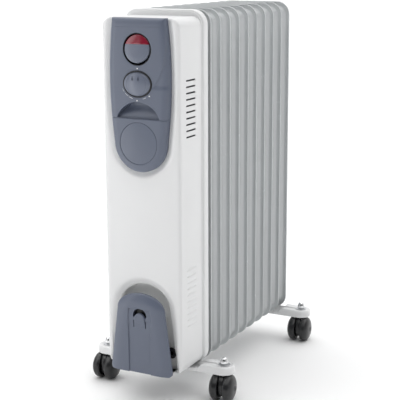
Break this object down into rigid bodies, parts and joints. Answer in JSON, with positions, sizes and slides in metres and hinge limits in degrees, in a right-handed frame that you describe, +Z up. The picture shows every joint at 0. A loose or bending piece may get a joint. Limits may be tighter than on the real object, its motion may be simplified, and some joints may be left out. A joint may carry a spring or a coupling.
{
  "type": "oil filled radiator heater",
  "caption": "Upright oil filled radiator: pressed steel fins in a row behind a control housing with rocker, thermostat knob and cord winder, on twin-wheel casters.",
  "frame": {"origin": "on the floor, under the middle of the object's bounding box", "axes": "+X is the right side seen from the front, +Y runs back along the row of fins, +Z is up"},
  "size_m": [0.2726, 0.4438, 0.64],
  "materials": {
    "fin_paint": "satin light grey stoved paint on pressed steel",
    "white_paint": "gloss white powder coat",
    "white_plastic": "semi-gloss white moulding",
    "blue_grey_plastic": "fine spark-eroded satin texture",
    "control_plastic": "satin moulding",
    "red_lens": "clear red lens",
    "black_plastic": "satin black moulding",
    "gasket_rubber": "matt",
    "caster_plastic": "black nylon with a soft gloss",
    "bright_steel": "zinc plated",
    "chrome_plate": "bright chrome plate",
    "brass": "turned"
  },
  "bodies": {
    "heater": {"fin_01": "fin_paint", "fin_02": "fin_paint", "fin_03": "fin_paint", "fin_04": "fin_paint", "fin_05": "fin_paint", "fin_06": "fin_paint", "fin_07": "fin_paint", "fin_08": "fin_paint", "fin_09": "fin_paint", "fin_10": "fin_paint", "header_collars": "fin_paint", "heating_element": "bright_steel", "element_flange": "brass", "flange_gasket": "gasket_rubber", "fill_plug": "brass", "end_frame": "white_paint", "heat_shield": "bright_steel", "housing_shell": "white_paint", "control_panel": "blue_grey_plastic", "lower_panel": "blue_grey_plastic", "blank_disc": "blue_grey_plastic", "rocker_bezel": "black_plastic", "switch_body": "black_plastic", "knob_collar": "control_plastic", "knob_ring": "black_plastic", "thermostat": "bright_steel", "winder_niche": "white_plastic", "winder_core": "white_plastic", "winder_plate": "blue_grey_plastic", "cable_gland": "black_plastic", "terminal_block": "black_plastic", "tilt_switch": "black_plastic", "thermal_cutout": "bright_steel", "case_screws": "bright_steel", "front_foot": "white_paint", "rear_foot": "white_paint", "foot_bolts": "bright_steel", "wing_nuts": "bright_steel", "caster_stems": "bright_steel", "acorn_nuts": "chrome_plate", "washers": "chrome_plate"},
    "rocker": {"rocker": "control_plastic", "rocker_lens": "red_lens"},
    "knob": {"knob": "control_plastic"},
    "caster_fr": {"caster_body_fr": "caster_plastic", "axle_fr": "bright_steel"},
    "roller_fr_a": {"wheel_fr_a": "caster_plastic"},
    "roller_fr_b": {"wheel_fr_b": "caster_plastic"},
    "caster_fl": {"caster_body_fl": "caster_plastic", "axle_fl": "bright_steel"},
    "roller_fl_a": {"wheel_fl_a": "caster_plastic"},
    "roller_fl_b": {"wheel_fl_b": "caster_plastic"},
    "caster_rr": {"caster_body_rr": "caster_plastic", "axle_rr": "bright_steel"},
    "roller_rr_a": {"wheel_rr_a": "caster_plastic"},
    "roller_rr_b": {"wheel_rr_b": "caster_plastic"},
    "caster_rl": {"caster_body_rl": "caster_plastic", "axle_rl": "bright_steel"},
    "roller_rl_a": {"wheel_rl_a": "caster_plastic"},
    "roller_rl_b": {"wheel_rl_b": "caster_plastic"}
  },
  "joints": [
    {"name": "rocker_press", "type": "hinge", "parent": "heater", "child": "rocker", "pos_m": [0, -0.20545, 0.582], "axis": [1, 0, 0], "range_deg": [0, 14]},
    {"name": "thermostat_turn", "type": "hinge", "parent": "heater", "child": "knob", "pos_m": [0, -0.21445, 0.528], "axis": [0, 1, 0], "range_deg": [0, 180]},
    {"name": "swivel_fr", "type": "hinge", "parent": "heater", "child": "caster_fr", "pos_m": [0.1128, -0.13695, 0.045], "axis": [0, 0, 1], "continuous": true},
    {"name": "roll_fr_a", "type": "hinge", "parent": "caster_fr", "child": "roller_fr_a", "pos_m": [0.11391, -0.14487, 0.0225], "axis": [0.9903, 0.1392, 0], "continuous": true},
    {"name": "roll_fr_b", "type": "hinge", "parent": "caster_fr", "child": "roller_fr_b", "pos_m": [0.11391, -0.14487, 0.0225], "axis": [0.9903, 0.1392, 0], "continuous": true},
    {"name": "swivel_fl", "type": "hinge", "parent": "heater", "child": "caster_fl", "pos_m": [-0.1128, -0.13695, 0.045], "axis": [0, 0, 1], "continuous": true},
    {"name": "roll_fl_a", "type": "hinge", "parent": "caster_fl", "child": "roller_fl_a", "pos_m": [-0.11238, -0.14494, 0.0225], "axis": [0.9986, 0.0523, 0], "continuous": true},
    {"name": "roll_fl_b", "type": "hinge", "parent": "caster_fl", "child": "roller_fl_b", "pos_m": [-0.11238, -0.14494, 0.0225], "axis": [0.9986, 0.0523, 0], "continuous": true},
    {"name": "swivel_rr", "type": "hinge", "parent": "heater", "child": "caster_rr", "pos_m": [0.1128, 0.1953, 0.045], "axis": [0, 0, 1], "continuous": true},
    {"name": "roll_rr_a", "type": "hinge", "parent": "caster_rr", "child": "roller_rr_a", "pos_m": [0.1135, 0.18733, 0.0225], "axis": [0.9962, 0.0872, 0], "continuous": true},
    {"name": "roll_rr_b", "type": "hinge", "parent": "caster_rr", "child": "roller_rr_b", "pos_m": [0.1135, 0.18733, 0.0225], "axis": [0.9962, 0.0872, 0], "continuous": true},
    {"name": "swivel_rl", "type": "hinge", "parent": "heater", "child": "caster_rl", "pos_m": [-0.1128, 0.1953, 0.045], "axis": [0, 0, 1], "continuous": true},
    {"name": "roll_rl_a", "type": "hinge", "parent": "caster_rl", "child": "roller_rl_a", "pos_m": [-0.11391, 0.18738, 0.0225], "axis": [0.9903, -0.1392, 0], "continuous": true},
    {"name": "roll_rl_b", "type": "hinge", "parent": "caster_rl", "child": "roller_rl_b", "pos_m": [-0.11391, 0.18738, 0.0225], "axis": [0.9903, -0.1392, 0], "continuous": true}
  ]
}
